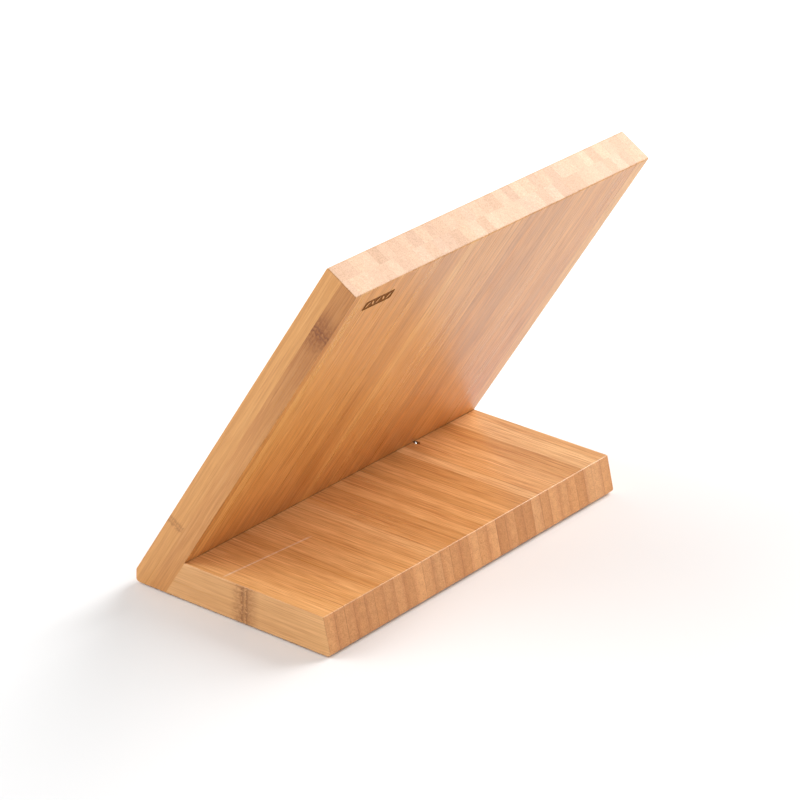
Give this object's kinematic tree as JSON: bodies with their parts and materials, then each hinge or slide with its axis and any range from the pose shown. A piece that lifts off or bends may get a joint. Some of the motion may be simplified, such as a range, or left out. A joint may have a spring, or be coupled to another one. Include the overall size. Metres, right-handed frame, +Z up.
{
  "type": "magnetic knife block",
  "caption": "Leaning two-ply bamboo board on a bamboo base; magnets sealed inside the board hold knives on its front face.",
  "frame": {"origin": "centre of the block's bounding box, on the table", "axes": "+X across the block, +Y from the knife side to the back, +Z up"},
  "size_m": [0.24, 0.131, 0.2001],
  "materials": {
    "bamboo": "satin lacquered side-pressed bamboo",
    "magnet": "nickel-plated magnet blocks",
    "keeper_steel": "zinc-plated mild steel bar",
    "screw_steel": "yellow zinc-plated steel",
    "beech": "raw turned beech",
    "brad_steel": "bright drawn wire",
    "silicone": "matt translucent silicone"
  },
  "bodies": {
    "root": {"front_ply": "bamboo", "rear_ply": "bamboo", "base_board": "bamboo", "magnets_lower": "magnet", "magnets_middle": "magnet", "magnets_upper": "magnet", "keeper_lower": "keeper_steel", "keeper_middle": "keeper_steel", "keeper_upper": "keeper_steel", "joint_screws": "screw_steel", "joint_dowels": "beech", "brad": "brad_steel", "foot_front_left": "silicone", "foot_front_right": "silicone", "foot_rear_left": "silicone", "foot_rear_right": "silicone"}
  },
  "joints": []
}
